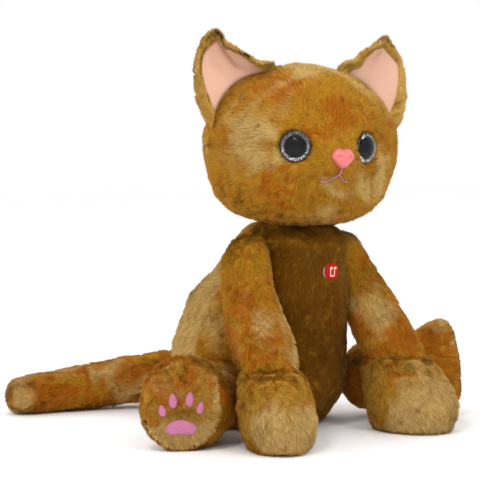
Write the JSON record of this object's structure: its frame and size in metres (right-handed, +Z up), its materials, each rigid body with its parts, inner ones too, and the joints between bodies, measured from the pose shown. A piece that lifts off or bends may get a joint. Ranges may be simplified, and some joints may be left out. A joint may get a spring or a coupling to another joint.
{
  "type": "plush cat",
  "caption": "Seated stuffed toy cat with mottled golden fur, turning head, hinged limbs, ears and tail, and a press-to-play sound button.",
  "frame": {"origin": "on the floor in the seat's flat bottom, straight under the neck", "axes": "+Z up, -Y the way the cat's body faces, +X towards the cat's left side"},
  "size_m": [0.3317, 0.3048, 0.3191],
  "materials": {
    "golden_fur": "short plush pile, mottled gold, orange and cream",
    "cream_fur": "short plush pile, pale cream to gold",
    "sole_fur": "short plush pile on the sole, gold and cream",
    "pink_satin": "smooth peach-pink satin knit, slight sheen",
    "pad_embroidery": "dense mauve-pink satin stitch",
    "mouth_floss": "twisted mauve embroidery thread",
    "wadding": "white polyester wadding",
    "pellets": "plastic pellets in a thin cotton bag",
    "seat_cloth": "short plush pile on the seat panel",
    "eye_black": "black moulded plastic, glossy",
    "eye_glitter": "silver glitter under clear plastic",
    "eye_clear": "clear domed plastic, polished",
    "washer_plastic": "white moulded plastic lock washer",
    "nose_pink": "salmon-pink moulded plastic, soft gloss",
    "patch_red": "red printed cloth disc",
    "note_print": "pale print of a music note",
    "case_plastic": "white moulded plastic",
    "board_green": "green circuit board",
    "speaker_grey": "dark paper cone in a steel basket",
    "cell_steel": "plated steel button cells",
    "screw_steel": "small plated screw"
  },
  "bodies": {
    "torso": {"torso_front_panel": "golden_fur", "torso_back_left_panel": "golden_fur", "torso_back_right_panel": "golden_fur", "seat_panel": "seat_cloth", "torso_fill": "wadding", "pellet_bag": "pellets", "sound_case_front": "case_plastic", "sound_case_back": "case_plastic", "battery_door": "case_plastic", "battery_door_screw": "screw_steel", "button_cells": "cell_steel", "circuit_board": "board_green", "speaker": "speaker_grey"},
    "music_button": {"button_plunger": "case_plastic", "music_patch": "patch_red", "music_note": "note_print"},
    "neck": {"neck_fill": "wadding"},
    "head": {"head_left_panel": "golden_fur", "head_right_panel": "golden_fur", "head_gusset": "golden_fur", "chin_panel": "golden_fur", "head_fill": "wadding", "eye_left_base": "eye_black", "eye_left_iris": "eye_glitter", "eye_left_pupil": "eye_black", "eye_left_dome": "eye_clear", "eye_left_washer": "washer_plastic", "eye_right_base": "eye_black", "eye_right_iris": "eye_glitter", "eye_right_pupil": "eye_black", "eye_right_dome": "eye_clear", "eye_right_washer": "washer_plastic", "nose": "nose_pink", "nose_washer": "washer_plastic", "mouth_thread": "mouth_floss"},
    "ear_left": {"ear_left_back": "golden_fur", "ear_left_lining": "pink_satin"},
    "ear_right": {"ear_right_back": "golden_fur", "ear_right_lining": "pink_satin"},
    "arm_left": {"arm_left_sleeve": "golden_fur", "paw_left_cover": "cream_fur", "arm_left_fill": "wadding"},
    "arm_right": {"arm_right_sleeve": "golden_fur", "paw_right_cover": "cream_fur", "arm_right_fill": "wadding"},
    "leg_left": {"leg_left_cover": "golden_fur", "leg_left_fill": "wadding", "sole_left": "sole_fur", "sole_left_pads": "pad_embroidery"},
    "leg_right": {"leg_right_cover": "golden_fur", "leg_right_fill": "wadding", "sole_right": "sole_fur", "sole_right_pads": "pad_embroidery"},
    "tail": {"tail_cover": "golden_fur", "tail_fill": "wadding"}
  },
  "joints": [
    {"name": "head_turn", "type": "hinge", "parent": "torso", "child": "neck", "pos_m": [0, -0.002, 0.156], "axis": [0.0112, -0.0574, 0.9983], "range_deg": [-35, 35]},
    {"name": "head_nod", "type": "hinge", "parent": "neck", "child": "head", "pos_m": [0, -0.002, 0.156], "axis": [0.9633, -0.2671, -0.0262], "range_deg": [-12, 9]},
    {"name": "ear_left_fold", "type": "hinge", "parent": "head", "child": "ear_left", "pos_m": [0.04849, -0.0287, 0.26461], "axis": [0.7231, -0.1651, -0.6708], "range_deg": [-20, 8], "stiffness_Nm_per_rad": 0.03},
    {"name": "ear_right_fold", "type": "hinge", "parent": "head", "child": "ear_right", "pos_m": [-0.04977, -0.00145, 0.26728], "axis": [0.7377, -0.24, 0.6311], "range_deg": [-20, 8], "stiffness_Nm_per_rad": 0.03},
    {"name": "arm_left_raise", "type": "hinge", "parent": "torso", "child": "arm_left", "pos_m": [0.058, -0.011, 0.138], "axis": [-1, 0, 0], "range_deg": [0, 60]},
    {"name": "arm_right_raise", "type": "hinge", "parent": "torso", "child": "arm_right", "pos_m": [-0.058, -0.011, 0.138], "axis": [-1, 0, 0], "range_deg": [0, 60]},
    {"name": "leg_left_lift", "type": "hinge", "parent": "torso", "child": "leg_left", "pos_m": [0.08405, 0.00358, 0.034], "axis": [-0.4067, -0.9135, 0], "range_deg": [0, 17]},
    {"name": "leg_right_lift", "type": "hinge", "parent": "torso", "child": "leg_right", "pos_m": [-0.06997, 0.00221, 0.034], "axis": [-0.4848, 0.8746, 0], "range_deg": [0, 17]},
    {"name": "tail_swing", "type": "hinge", "parent": "torso", "child": "tail", "pos_m": [0, 0.119, 0.024], "axis": [0, 0, -1], "range_deg": [-15, 55]},
    {"name": "button_press", "type": "slide", "parent": "torso", "child": "music_button", "axis": [0, 1, 0], "range_m": [0, 0.002], "stiffness_N_per_m": 600}
  ]
}
